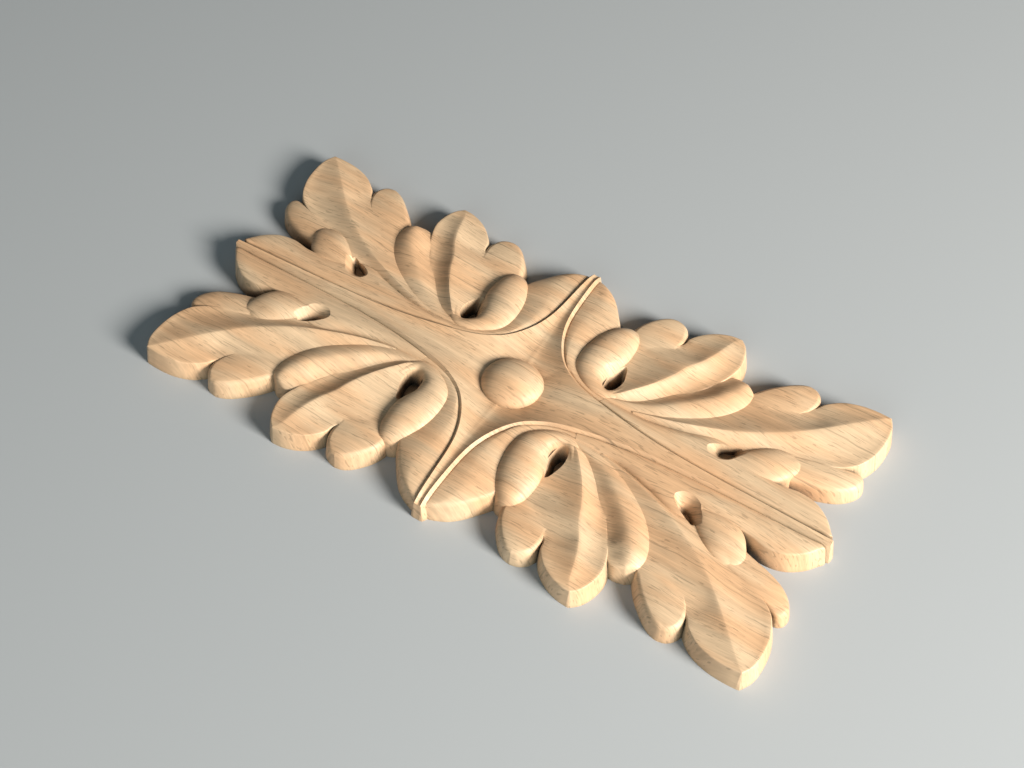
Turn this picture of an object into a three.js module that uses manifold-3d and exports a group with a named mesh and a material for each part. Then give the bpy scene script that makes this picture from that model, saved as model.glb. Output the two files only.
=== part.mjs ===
// A carved wooden rosette: an oblong applied ornament with a domed boss in a four-armed star,
// and acanthus leaves in each quarter. It is carved from one board, flat at the back.
// The frame: origin at the middle of the flat back, +X along the grain and the long arms,
// +Y along the short arms, +Z out of the carved face. Millimetres.

import * as THREE from "three";
import { mergeVertices } from "three/addons/utils/BufferGeometryUtils.js";
import Module from "manifold-3d";

// Overall sizes.
const LENGTH = 200; // between the ends of the two long arms, at the rim
const WIDTH = 96.2; // between the ends of the two short arms, at the rim
const BOSS_HEIGHT = 10.8; // from the back to the top of the boss, the thickest place

// Sizes that are cut or turned by themselves.
const BOSS_RADIUS = 9.6; // along the grain
const BOSS_RADIUS_ACROSS = 8.8;
const BOSS_SEAT = 5; // height at which its dome begins
const BOSS_SHAPE = 2.05; // 2 is an ellipse, more is a fuller shoulder
const FIELD_DEPTH = 5.2; // how far the star is dished below its edge beside the boss
const FIELD_REACH = 13; // how far along the arms the dish fades
const FIELD_RISE = 1.35; // 1 is a straight rise from the middle to the edge, more is a hollow one
const ARM_HOLLOW = 0.1; // the slight hollow left along the arms
const GROOVE_WIDTH = 0.85; // from the edge of the star to the foot of the groove
const GROOVE_DEPTH = 1.0; // beside the short arms
const GROOVE_DEPTH_ENDS = 1.25; // beside the long arms
const GROOVE_FADE = 45; // how far along the long arms its depth changes
const GROOVE_DIP = 1.6; // how much further than the foot the star's side slopes on, under the leaves
const DIP_ENDS = 0.2; // the share of that dip left at the ends of the arms
const LEAF_START = 0.5; // how far across the groove the leaves start, inside the star's side
const END_START = 0.85; // the same for the leaves beside the long arms
const WALL_DRAFT = 0.16; // how far a side wall leans out for each millimetre down
const PIT_BRIM = 7.4; // height below which the deep cuts narrow
const PIT_FLOOR = 1.2; // wood left under the eye
const SLOT_FLOOR = 2.4; // wood left under the slot

// The carving is drawn on a board of these sizes and stretched with the piece.
const DRAWN_LENGTH = 200;
const DRAWN_WIDTH = 96.2;
const DRAWN_HEIGHT = 10.8;

// How finely the carving is cut into facets, and how far apart the direction of a line is taken.
const STATION_NUDGE = 0.01;
const STEPS_ALONG = 1; // between two stations of a leaf
const FIELD_FACETS = 3; // between the middle of the star and its edge
const BOSS_SIDES = 40;
const BOSS_RINGS = 6;

// Each solid runs on below the back and is trimmed there by a block of this many times the overall sizes.
const BELOW = -2;
const TRIM_SIZES = 2;

// Points closer than this are one point.
const SAME_PLACE = 1e-4;

const wood = new THREE.MeshStandardMaterial({ color: 0xd9ae7f, roughness: 0.62, metalness: 0 });

const scale = new THREE.Vector3(LENGTH / DRAWN_LENGTH, WIDTH / DRAWN_WIDTH, BOSS_HEIGHT / DRAWN_HEIGHT);

// A smooth line through drawn points, asked by its station number.
function rail(points) {
  const curve = new THREE.CatmullRomCurve3(points.map((p) => new THREE.Vector3(...p)), false, "centripetal");
  const last = points.length - 1;
  return (station) => curve.getPoint(THREE.MathUtils.clamp(station / last, 0, 1));
}

// The edge of the star in one quarter, from the end of the short arm to the end of the long arm.
const STAR_EDGE = [
  [1.0, 48.1, 6.3],
  [1.05, 45, 7.7],
  [1.25, 40, 8.5],
  [1.9, 30, 8.9],
  [2.75, 25, 8.95],
  [4.5, 20, 9.0],
  [7.4, 15, 9.15],
  [10.4, 11.7, 9.3],
  [15, 8.75, 9.4],
  [20, 6.75, 9.5],
  [30, 4.5, 9.45],
  [40, 2.8, 9.3],
  [50, 1.8, 9.1],
  [65, 1.1, 8.85],
  [80, 0.85, 8.5],
  [100, 0.6, 8.0],
];
const starEdge = rail(STAR_EDGE);

// A point beside the star's edge: so much of the groove's width out and of its depth down.
function groove(station, across, down) {
  const here = starEdge(station);
  const along = starEdge(station + STATION_NUDGE).sub(starEdge(station - STATION_NUDGE));
  const out = new THREE.Vector3(-along.y, along.x, 0).normalize();
  if (out.x < 0) out.negate();
  const beside = Math.exp(-((here.x / GROOVE_FADE) ** 2));
  const depth = GROOVE_DEPTH_ENDS + (GROOVE_DEPTH - GROOVE_DEPTH_ENDS) * beside;
  const far = GROOVE_WIDTH * across;
  return [here.x + out.x * far, here.y + out.y * far, here.z - depth * down];
}

// Where the leaves begin.
const grooveFoot = (station) => groove(station, LEAF_START, 1);
const endFoot = (station) => groove(station, END_START, 1);

// Cross sections from a crest, at 0, to a rim, at 1. The fall is how much of the way down
// is behind, and the facets are closer where the section bends most.
const closeAtRim = (share) => Math.sin(share * Math.PI / 2);
const closeAtCrest = (share) => 1 - Math.cos(share * Math.PI / 2);
const round = { facets: 3, place: closeAtRim, fall: (s) => 1 - Math.sqrt(Math.max(1 - s * s, 0)) };
const domed = (power) => ({ facets: 2, place: closeAtRim, fall: (s) => s ** power });
const hollow = (power) => ({ facets: 2, place: closeAtCrest, fall: (s) => 1 - (1 - s) ** power });
const flowing = { facets: 3, place: (share) => share, fall: (s) => s * s * (3 - 2 * s) };
const dished = (power, dip) => ({
  facets: 2,
  place: (share) => share,
  fall: (s) => 1 - (1 - s) ** power + dip * s * Math.sin(s * Math.PI),
});

// A leaf is drawn as stations from its root to its tip. Each station is its left rim,
// its crest and its right rim, and the last one is the tip alone.
const LEAVES = {
  crescent: {
    left: domed(2),
    right: domed(1.6),
    stations: [
      [grooveFoot(10), [30, 6.7, 8.6], [30, 7.6, 8.2]],
      [grooveFoot(9), [20, 8, 8.8], [19.5, 10, 8]],
      [grooveFoot(8), [13.4, 10.3, 8.85], [15, 14, 7.7]],
      [grooveFoot(7), [9.8, 13.7, 8.85], [13.5, 17.5, 7.5]],
      [grooveFoot(6), [8.2, 17.6, 8.85], [13.8, 21, 7.2]],
      [grooveFoot(5), [7, 21.8, 8.8], [14.4, 24, 6.9]],
      [grooveFoot(4), [6.7, 26.5, 8.8], [15.4, 27, 6.8]],
      [grooveFoot(3), [7.2, 31, 8.7], [16.8, 31, 6.7]],
      [grooveFoot(2.4), [7.8, 35.4, 8.5], [16, 34.3, 6.6]],
      [grooveFoot(2), [7.4, 39, 8.1], [13.6, 37.8, 6.5]],
      [grooveFoot(1.4), [6.4, 42.4, 7.7], [10.3, 41.9, 6.5]],
      [grooveFoot(0.9), [5, 44.8, 7.1], [7.5, 44.4, 6.3]],
      [grooveFoot(0.3), [3, 46.7, 6], [4.3, 46.1, 5.8]],
      [[2.3, 46.9, 5.2]],
    ],
  },
  curl: {
    left: round,
    right: round,
    stations: [
      [[30, 12.8, 7], [28.9, 14.2, 8.5], [27.8, 15.6, 6.8]],
      [[28.4, 9.6, 7.2], [27.3, 11.5, 8.8], [26.4, 13, 7]],
      [[25.2, 8, 7.6], [25, 9.8, 9.1], [24.9, 11.6, 7.2]],
      [[20.6, 8.3, 7.9], [22, 10.2, 9.5], [23.4, 12, 7]],
      [[15.8, 10.6, 7.5], [18.2, 12.9, 9.9], [21.8, 13.8, 6.5]],
      [[12.3, 13.9, 7.2], [16.8, 16.5, 10.2], [22, 16.6, 6.2]],
      [[11, 18.6, 6.9], [16.9, 20.5, 10.3], [23.3, 20, 6]],
      [[11.2, 23.5, 6.4], [17.6, 24.5, 10.1], [24.4, 24.2, 6]],
      [[12, 28.2, 5.6], [18.4, 28.6, 9.7], [24.4, 28.2, 5.8]],
      [[13.6, 32, 4.6], [19, 32, 8.9], [24, 32, 5]],
      [[15.5, 34, 4.4], [19.5, 33.9, 8], [23.2, 33.7, 4.8]],
      [[17.3, 35.4, 4.2], [19.9, 35.3, 6.6], [22.3, 35.1, 4.6]],
      [[19.8, 36.1, 4.6]],
    ],
  },
  spoon: {
    left: hollow(1.8),
    right: dished(2.6, 0.3),
    stations: [
      [[23, 11, 7.6], [25.5, 10, 8.6], [28, 8.6, 8]],
      [[22.3, 14, 7.2], [28, 11.2, 9], [31, 9.4, 7.8]],
      [[22, 17.8, 6.8], [30.7, 14.2, 9.1], [35, 11.4, 7.3]],
      [[22.8, 22, 6.5], [34.7, 19.4, 9], [39.8, 16, 6.9]],
      [[22.3, 28, 6.1], [38.3, 25.6, 8.8], [44, 21.8, 6.7]],
      [[20, 34, 5.9], [40.3, 30.4, 8.6], [46.9, 26.4, 6.4]],
      [[34.2, 38.7, 6], [43, 34.8, 8.35], [49.4, 30.4, 6.4]],
      [[35.3, 42, 6.2], [45, 39.5, 8.1], [51.4, 34, 6.7]],
      [[38.4, 45.6, 6.4], [46.2, 43.7, 7.75], [52.9, 39.4, 7]],
      [[42, 47.8, 6.7], [47, 46.5, 7.25], [52.1, 44.4, 7.0]],
      [[45.6, 48.9, 6.9], [47.9, 48.2, 7.0], [50.5, 47.5, 6.9]],
      [[48.7, 49.2, 6.8]],
    ],
  },
  inner_finger: {
    left: domed(2.5),
    right: domed(2),
    stations: [
      [[21.5, 26, 5.4], [27, 27, 6.1], [32, 29, 5.9]],
      [[19.8, 31, 5.6], [27, 32, 6.4], [34, 34, 6.1]],
      [[19.3, 35.5, 5.8], [27, 37, 6.6], [34.6, 37.8, 6.1]],
      [[20.4, 39.3, 5.9], [27.6, 41, 6.65], [34.7, 40.4, 6.1]],
      [[22.6, 42.7, 5.9], [28, 43.6, 6.45], [34.2, 42.8, 6]],
      [[25, 45.2, 5.8], [28.6, 45.3, 6.2], [32.9, 45, 5.9]],
      [[27, 46.4, 5.7], [28.8, 46.3, 5.85], [31, 46.3, 5.75]],
      [[29, 46.8, 5.7]],
    ],
  },
  outer_finger: {
    left: flowing,
    right: domed(1.7),
    stations: [
      [[22.5, 9.3, 8], [23.2, 8.2, 8.4], [24, 7, 8.2]],
      [[30.5, 12.6, 7.3], [32.8, 10.5, 8.5], [35.6, 7.6, 7.6]],
      [[35.4, 17, 7], [38.6, 12.8, 8.6], [42.2, 10, 7.2]],
      [[39.6, 22.2, 6.8], [44, 17, 8.75], [49, 14, 6.9]],
      [[44.2, 26.2, 6.5], [48.8, 21.4, 8.85], [54.8, 18.4, 6.6]],
      [[47.2, 29.6, 6.2], [52.6, 25.2, 8.85], [58.2, 22.8, 6.4]],
      [[49.4, 32.4, 6.1], [55, 28.6, 8.7], [60.3, 26.8, 6.2]],
      [[50.9, 34.4, 6.1], [56.5, 31.3, 8.4], [61, 29.8, 6.1]],
      [[52.8, 35.8, 6], [57.3, 33.4, 7.8], [61, 32, 6]],
      [[55, 36.5, 5.9], [57.9, 35, 7], [60.4, 34.1, 5.9]],
      [[57.9, 36.1, 6]],
    ],
  },
  corner: {
    left: hollow(2),
    right: dished(1.8, 0.25),
    stations: [
      [[33, 10.2, 7.6], [34.5, 8.6, 8.3], [36, 6.6, 7.8]],
      [[43, 14, 7.4], [45, 11.2, 8.7], [46.5, 7.8, 7.4]],
      [[52, 22, 6.8], [55, 14.7, 8.9], [57, 10.8, 7.1]],
      [[57.5, 29, 6.4], [63, 18, 8.95], [66, 13.8, 7]],
      [[61, 35, 6.2], [70, 21.9, 8.95], [75, 17, 6.9]],
      [[68, 38, 6.1], [76, 26, 8.85], [84, 20.5, 6.6]],
      [[76.6, 38.3, 6.1], [82, 31.2, 8.6], [92.5, 24.2, 6.5]],
      [[79, 41.3, 6.4], [86, 35.1, 8.4], [96, 27.3, 6.8]],
      [[83, 44.3, 6.7], [90, 39.2, 8.1], [98.4, 32.5, 7]],
      [[88, 45.9, 7], [93.5, 42.8, 7.8], [99.1, 38.5, 7.2]],
      [[93, 46.3, 7.2], [95.8, 45.1, 7.5], [98.6, 43, 7.3]],
      [[97.03, 46.13, 7.3]],
    ],
  },
  corner_inner_finger: {
    left: domed(2.5),
    right: domed(2),
    stations: [
      [[55, 26, 5.6], [60, 25, 6], [66, 25, 5.8]],
      [[58.6, 32.5, 5.9], [65, 30, 6.6], [72, 30, 6.4]],
      [[62.3, 37.8, 6.1], [69, 35.5, 6.85], [75.6, 35, 6.3]],
      [[66.2, 41.7, 6.1], [71.2, 39.7, 6.8], [76.9, 39, 6.3]],
      [[69, 43.9, 6], [72.4, 42.5, 6.5], [76.6, 41.6, 6.2]],
      [[71.2, 45, 5.9], [73, 44.1, 6.2], [75.6, 43.6, 6]],
      [[72.6, 45.4, 5.8], [73.4, 44.9, 5.9], [74.4, 44.8, 5.85]],
      [[73.4, 45.4, 5.8]],
    ],
  },
  corner_outer_finger: {
    left: domed(2),
    right: domed(2),
    stations: [
      [[62, 15, 6.9], [62, 13, 7], [62, 10, 6.8]],
      [[72, 18.5, 6.8], [73, 15.5, 7], [73, 10.5, 6.3]],
      [[82, 21.8, 6.5], [83, 18, 6.8], [83, 13.4, 5.8]],
      [[89.5, 24, 6.1], [90, 20, 6.5], [89.5, 15, 5.3]],
      [[94.5, 25.4, 5.5], [95, 22, 5.9], [94.5, 17, 4.9]],
      [[97.2, 25.8, 5], [97.8, 23.2, 5.2], [97.6, 19.6, 4.5]],
      [[98.6, 25, 4.5], [98.8, 23.8, 4.6], [99, 22.2, 4.3]],
      [[99.1, 23.8, 4.3]],
    ],
  },
  end: {
    left: domed(4),
    right: domed(1.7),
    stations: [
      [endFoot(9.5), [25.5, 6.9, 8.8], [26, 8.4, 8.3]],
      [endFoot(10), [31, 6.6, 9.1], [32, 8.6, 8]],
      [endFoot(11), [40, 6.6, 9.1], [41, 9.2, 7.4]],
      [endFoot(12), [50, 7.5, 9.05], [51, 11.6, 6.9]],
      [endFoot(12.6), [58, 8.8, 8.8], [59, 14.2, 6.8]],
      [endFoot(13), [66, 7.8, 8.65], [68, 12, 7.2]],
      [endFoot(13.6), [74, 6.3, 8.45], [75, 9.5, 7.7]],
      [endFoot(14), [80, 5.5, 8.3], [80, 9.3, 7.5]],
      [endFoot(14.3), [86, 5, 8.15], [86, 10.3, 7.2]],
      [endFoot(14.55), [91, 4.5, 8], [91.3, 9.4, 7.2]],
      [endFoot(14.75), [95, 3.6, 7.85], [95.8, 6.4, 7.2]],
      [endFoot(14.9), [97.9, 2.6, 7.6], [98.4, 3.2, 7.3]],
      [[99.3, 2.2, 7.2]],
    ],
  },
  end_finger: {
    left: round,
    right: round,
    stations: [
      [[58, 9.5, 6.6], [60, 8, 7.2], [64, 7, 6.6]],
      [[62.3, 10.2, 6.5], [66, 9.3, 8.3], [71, 7.2, 6.6]],
      [[64.8, 12.2, 6.4], [70, 11, 8.9], [76.5, 8, 6.6]],
      [[68, 15.4, 6.2], [73.5, 13.2, 9], [79.8, 10.4, 6.4]],
      [[71.2, 18.3, 6], [76, 15.9, 8.7], [81.8, 13.7, 6.2]],
      [[74, 20.1, 5.8], [78, 17.9, 8], [83, 16.7, 6]],
      [[77.3, 20.9, 5.6], [79.8, 19.4, 7], [82.6, 18.9, 5.8]],
      [[80.6, 20.8, 5.4]],
    ],
  },
};

// Deep cuts: the mouth, above the carving, and how it narrows towards the floor.
const PITS = {
  eye: {
    mouth: [
      [26.9, 13.8], [27.1, 16.5], [26.4, 19.3], [25.3, 22], [24.5, 22.6], [22.9, 19.4], [21.5, 16.5],
      [21.2, 13.8], [22.3, 11.9], [24.4, 11.3], [26.1, 12.2],
    ],
    centre: [26.5, 13.2],
    narrowing: 0.62,
    floor: PIT_FLOOR,
  },
  slot: {
    mouth: [
      [59.3, 10.6], [60.9, 12.3], [63.6, 13.6], [66.2, 14.6], [67, 13.6], [66, 11.6], [64.6, 9.6],
      [62.3, 8.6], [60.2, 9.1],
    ],
    centre: [63.6, 11.6],
    narrowing: 0.55,
    floor: SLOT_FLOOR,
  },
};

// A closed body from a grid of rows on top. Its walls lean out on the way down.
function bodyUnder(rows) {
  const positions = [];
  const triangles = [];
  const columns = rows[0].length;
  const rim = rimOutward(rows);
  const add = (x, y, z) => positions.push(x, y, z) / 3 - 1;
  const top = rows.map((row) => row.map((p) => add(p.x, p.y, p.z)));
  const foot = rows.map((row, i) => row.map((p, j) => {
    const out = rim.get(`${i},${j}`);
    const lean = out ? (p.z - BELOW) * WALL_DRAFT : 0;
    return add(p.x + (out ? out.x * lean : 0), p.y + (out ? out.y * lean : 0), BELOW);
  }));
  const quad = (a, b, c, d) => triangles.push([a, b, c], [a, c, d]);
  for (let i = 0; i + 1 < rows.length; i += 1) {
    for (let j = 0; j + 1 < columns; j += 1) {
      quad(top[i][j], top[i][j + 1], top[i + 1][j + 1], top[i + 1][j]);
      quad(foot[i][j], foot[i + 1][j], foot[i + 1][j + 1], foot[i][j + 1]);
    }
  }
  const border = borderOf(rows.length, columns);
  border.forEach(([i, j], k) => {
    const [m, n] = border[(k + 1) % border.length];
    quad(top[m][n], top[i][j], foot[i][j], foot[m][n]);
  });
  return { positions, triangles };
}

// The border of a grid, once round.
function borderOf(rowCount, columnCount) {
  const border = [];
  for (let j = 0; j < columnCount; j += 1) border.push([0, j]);
  for (let i = 1; i < rowCount; i += 1) border.push([i, columnCount - 1]);
  for (let j = columnCount - 2; j >= 0; j -= 1) border.push([rowCount - 1, j]);
  for (let i = rowCount - 2; i > 0; i -= 1) border.push([i, 0]);
  return border;
}

// The outward direction at each border point of a grid, seen from above.
function rimOutward(rows) {
  const border = borderOf(rows.length, rows[0].length);
  const points = border.map(([i, j]) => rows[i][j]);
  const area = points.reduce((sum, p, k) => {
    const q = points[(k + 1) % points.length];
    return sum + p.x * q.y - q.x * p.y;
  }, 0);
  const turn = Math.sign(area);
  const outward = new Map();
  border.forEach(([i, j], k) => {
    const here = points[k];
    const differs = (p) => Math.hypot(p.x - here.x, p.y - here.y) > SAME_PLACE;
    const next = pick(points, k, 1, differs);
    const before = pick(points, k, -1, differs);
    const a = new THREE.Vector2(here.x - before.x, here.y - before.y).normalize();
    const b = new THREE.Vector2(next.x - here.x, next.y - here.y).normalize();
    const along = a.add(b).normalize();
    outward.set(`${i},${j}`, new THREE.Vector2(along.y * turn, -along.x * turn));
  });
  return outward;
}

function pick(points, from, step, test) {
  const count = points.length;
  for (let k = 1; k < count; k += 1) {
    const p = points[(from + step * k + count * count) % count];
    if (test(p)) return p;
  }
  return points[from];
}

// Joins points that coincide and drops the triangles that closed up.
function weld({ positions, triangles }) {
  const loose = new THREE.BufferGeometry();
  loose.setAttribute("position", new THREE.Float32BufferAttribute(positions, 3));
  loose.setIndex(triangles.flat());
  const welded = mergeVertices(loose, SAME_PLACE);
  const index = welded.index.array;
  const kept = [];
  for (let k = 0; k < index.length; k += 3) {
    const [a, b, c] = index.slice(k, k + 3);
    if (a !== b && b !== c && c !== a) kept.push(a, b, c);
  }
  welded.setIndex(kept);
  return welded;
}

const range = (count) => [...Array(count).keys()];

// The leaf's top as a grid of points, from rim to crest to rim at every step along it.
function leafRows({ stations, left, right }) {
  const full = stations.map((station) => (station.length === 1 ? [station[0], station[0], station[0]] : station));
  const [leftRim, crest, rightRim] = [0, 1, 2].map((k) => rail(full.map((station) => station[k])));
  const rows = [];
  const count = (full.length - 1) * STEPS_ALONG;
  for (let i = 0; i <= count; i += 1) {
    const at = i / STEPS_ALONG;
    const middle = crest(at);
    const flank = (rim, section) => range(section.facets).map((j) => {
      const s = section.place((j + 1) / section.facets);
      const p = middle.clone().lerp(rim, s);
      p.z = middle.z + (rim.z - middle.z) * section.fall(s);
      return p;
    });
    rows.push([...flank(leftRim(at), left).reverse(), middle, ...flank(rightRim(at), right)]);
  }
  return rows;
}

// The star's quarter: a dish that rises from its middle lines to its edge.
function starRows() {
  const rows = [];
  const count = (STAR_EDGE.length - 1) * STEPS_ALONG;
  for (let i = 0; i <= count; i += 1) {
    const edge = starEdge(i / STEPS_ALONG);
    const middle = new THREE.Vector3(Math.max(edge.x - edge.y, 0), Math.max(edge.y - edge.x, 0), 0);
    if (i === 0) middle.set(0, edge.y, 0);
    if (i === count) middle.set(edge.x, 0, 0);
    const reach = middle.length();
    middle.z = edge.z - FIELD_DEPTH * Math.exp(-reach / FIELD_REACH) - ARM_HOLLOW;
    const row = [];
    for (let j = 0; j <= FIELD_FACETS; j += 1) {
      const s = j / FIELD_FACETS;
      const p = middle.clone().lerp(edge, s);
      p.z = middle.z + (edge.z - middle.z) * s ** FIELD_RISE;
      row.push(p);
    }
    const dip = i === 0 || i === count ? GROOVE_DIP * DIP_ENDS : GROOVE_DIP;
    row.push(new THREE.Vector3(...groove(i / STEPS_ALONG, dip, dip)));
    rows.push(row);
  }
  return rows;
}

// Faces turned the right way round, whatever way the grid was drawn.
function facingOut(geometry) {
  const p = geometry.attributes.position;
  const index = geometry.index.array;
  const [a, b, c] = [new THREE.Vector3(), new THREE.Vector3(), new THREE.Vector3()];
  let volume = 0;
  for (let k = 0; k < index.length; k += 3) {
    a.fromBufferAttribute(p, index[k]);
    b.fromBufferAttribute(p, index[k + 1]);
    c.fromBufferAttribute(p, index[k + 2]);
    volume += a.dot(b.cross(c));
  }
  if (volume < 0) {
    for (let k = 0; k < index.length; k += 3) [index[k], index[k + 1]] = [index[k + 1], index[k]];
  }
  return geometry;
}

// The same quarter carving in the four quarters of the piece.
function inQuarters(geometry) {
  const copies = [];
  for (const sx of [1, -1]) {
    for (const sy of [1, -1]) {
      const copy = geometry.clone();
      copy.scale(sx * scale.x, sy * scale.y, scale.z);
      copies.push(facingOut(copy));
    }
  }
  return copies;
}

function bossGeometry() {
  const profile = [new THREE.Vector2(0, BELOW)];
  profile.push(new THREE.Vector2(BOSS_RADIUS, BELOW));
  const seat = BOSS_SEAT * scale.z;
  for (let k = 0; k < BOSS_RINGS; k += 1) {
    const angle = (k / BOSS_RINGS) * (Math.PI / 2);
    const r = BOSS_RADIUS * Math.cos(angle) ** (2 / BOSS_SHAPE);
    profile.push(new THREE.Vector2(r, seat + (BOSS_HEIGHT - seat) * Math.sin(angle) ** (2 / BOSS_SHAPE)));
  }
  profile.push(new THREE.Vector2(0, BOSS_HEIGHT));
  const lathe = new THREE.LatheGeometry(profile, BOSS_SIDES);
  lathe.rotateX(Math.PI / 2);
  lathe.scale(1, BOSS_RADIUS_ACROSS / BOSS_RADIUS, 1);
  return lathe;
}

// The pit's plug: its mouth above the carving and the narrower outline at its floor.
function pitGeometry({ mouth, centre, narrowing, floor }) {
  const curve = new THREE.CatmullRomCurve3(mouth.map(([x, y]) => new THREE.Vector3(x, y, 0)), true, "centripetal");
  const outline = curve.getPoints(mouth.length * STEPS_ALONG).slice(0, -1);
  if (THREE.ShapeUtils.area(outline) < 0) outline.reverse();
  const at = (p, share, z) => [
    centre[0] + (p.x - centre[0]) * share,
    centre[1] + (p.y - centre[1]) * share,
    z,
  ];
  const levels = [[1, DRAWN_HEIGHT], [1, PIT_BRIM], [narrowing, floor]];
  const positions = [];
  for (const [share, z] of levels) for (const p of outline) positions.push(...at(p, share, z));
  const n = outline.length;
  const triangles = [];
  for (let level = 0; level + 1 < levels.length; level += 1) {
    for (let k = 0; k < n; k += 1) {
      const a = level * n + k;
      const b = level * n + ((k + 1) % n);
      triangles.push([a, b, b + n], [a, b + n, a + n]);
    }
  }
  const flat = outline.map((p) => new THREE.Vector2(p.x, p.y));
  for (const [a, b, c] of THREE.ShapeUtils.triangulateShape(flat, [])) {
    triangles.push([a, c, b], [a + 2 * n, b + 2 * n, c + 2 * n]);
  }
  return weld({ positions, triangles });
}

const wasm = await Module();
wasm.setup();

function toSolid(geometry) {
  const bare = geometry.clone();
  bare.deleteAttribute("normal");
  bare.deleteAttribute("uv");
  const p = bare.attributes.position.array;
  const index = bare.index ? bare.index.array : [...Array(p.length / 3).keys()];
  const triangles = [];
  for (let k = 0; k < index.length; k += 3) triangles.push([index[k], index[k + 1], index[k + 2]]);
  const welded = facingOut(weld({ positions: Array.from(p), triangles }));
  return new wasm.Manifold(new wasm.Mesh({
    numProp: 3,
    vertProperties: new Float32Array(welded.attributes.position.array),
    triVerts: new Uint32Array(welded.index.array),
  }));
}

function toGeometry(solid) {
  const mesh = solid.getMesh();
  const geometry = new THREE.BufferGeometry();
  geometry.setAttribute("position", new THREE.BufferAttribute(new Float32Array(mesh.vertProperties), 3));
  geometry.setIndex(Array.from(mesh.triVerts));
  return geometry;
}

function rosetteGeometry() {
  let solid = toSolid(bossGeometry());
  for (const rows of [starRows(), ...Object.values(LEAVES).map(leafRows)]) {
    for (const quarter of inQuarters(weld(bodyUnder(rows)))) solid = solid.add(toSolid(quarter));
  }
  for (const pit of Object.values(PITS)) {
    for (const quarter of inQuarters(pitGeometry(pit))) solid = solid.subtract(toSolid(quarter));
  }
  const keep = new THREE.BoxGeometry(LENGTH * TRIM_SIZES, WIDTH * TRIM_SIZES, BOSS_HEIGHT * TRIM_SIZES);
  keep.translate(0, 0, (BOSS_HEIGHT * TRIM_SIZES) / 2);
  return toGeometry(solid.intersect(toSolid(keep)));
}

const rosette = new THREE.Group();
const carving = new THREE.Mesh(rosetteGeometry(), wood);
carving.name = "carved_rosette";
rosette.add(carving);

export default rosette;
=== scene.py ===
import math

import bmesh
import bpy
import numpy as np
from mathutils import Matrix, Vector


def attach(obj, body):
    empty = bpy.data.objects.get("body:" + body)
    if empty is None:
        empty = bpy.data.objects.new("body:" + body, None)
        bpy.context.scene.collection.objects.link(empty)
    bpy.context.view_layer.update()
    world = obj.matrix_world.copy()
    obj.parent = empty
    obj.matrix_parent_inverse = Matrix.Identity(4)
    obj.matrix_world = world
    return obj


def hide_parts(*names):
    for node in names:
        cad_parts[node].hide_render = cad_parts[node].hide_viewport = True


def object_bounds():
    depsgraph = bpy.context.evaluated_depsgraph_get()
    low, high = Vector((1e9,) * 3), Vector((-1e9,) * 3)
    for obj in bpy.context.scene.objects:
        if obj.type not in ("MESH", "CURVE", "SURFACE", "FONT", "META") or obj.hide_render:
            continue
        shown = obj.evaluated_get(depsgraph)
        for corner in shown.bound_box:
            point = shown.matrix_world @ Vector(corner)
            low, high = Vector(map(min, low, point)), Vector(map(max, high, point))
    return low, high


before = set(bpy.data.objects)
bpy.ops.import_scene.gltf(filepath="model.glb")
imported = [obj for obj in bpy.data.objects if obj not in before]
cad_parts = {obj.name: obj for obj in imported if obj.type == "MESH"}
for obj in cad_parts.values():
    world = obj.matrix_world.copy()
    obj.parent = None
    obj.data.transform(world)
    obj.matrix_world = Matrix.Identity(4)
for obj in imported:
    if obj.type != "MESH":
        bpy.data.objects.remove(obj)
cad_low, cad_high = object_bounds()
MM = 0.001

# Sizes that the solid has too, in millimetres and in its frame.
BOSS_HEIGHT = 10.8  # from the back to the top of the boss, the thickest place
BOSS_RADIUS = (9.6, 8.8)  # along the grain and across it
BOSS_SEAT = 5  # height at which its dome begins
BOSS_SHAPE = 2.05  # 2 is an ellipse, more is a fuller shoulder
FIELD_DEPTH = 5.2  # how far the star is dished below its edge beside the boss
FIELD_REACH = 13  # how far along the arms the dish fades
FIELD_RISE = 1.35  # 1 is a straight rise from the middle to the edge, more is a hollow one
ARM_HOLLOW = 0.1  # the slight hollow left along the arms
GROOVE_WIDTH = 0.85  # from the edge of the star to the foot of the groove
GROOVE_DEPTH = 1.0  # beside the short arms
GROOVE_DEPTH_ENDS = 1.25  # beside the long arms
GROOVE_FADE = 45  # how far along the long arms its depth changes
GROOVE_DIP = 1.6  # how much further than the foot the star's side slopes on, under the leaves
DIP_ENDS = 0.2  # the share of that dip left at the ends of the arms
LEAF_START = 0.5  # how far across the groove the leaves start, inside the star's side
END_START = 0.85  # the same for the leaves beside the long arms
WALL_DRAFT = 0.16  # how far a side wall leans out for each millimetre down
PIT_BRIM = 7.4  # height below which the deep cuts narrow
PIT_FLOOR = 1.2  # wood left under the eye
BELOW = -2  # how deep the bodies go before they are trimmed at the back
ABOVE = BOSS_HEIGHT + 1  # how high the deep cuts reach, clear of the carving

# Sizes that differ from the solid's or that only the scene has.
SLOT_FLOOR = 3.6  # wood left under the slot
FIELD_EASE = 0.18  # how softly the star's field turns up from its middle line
DIP_STRETCH = 8  # how much sooner the dip is whole at the ends of the long arms
PIT_FLARE = 0.07  # how much wider the deep cuts become towards the carved face
FLARE_POWER = 4  # 1 is an even flare, more is one close to the carved face
CREST_EASE = 0.05  # how softly a hollow flank leaves its crest
RIM_ROUND = 0.5  # how far a crisp rim is eased
RIM_SHARE = 0.4  # of a flank, the most that the easing takes

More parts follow.
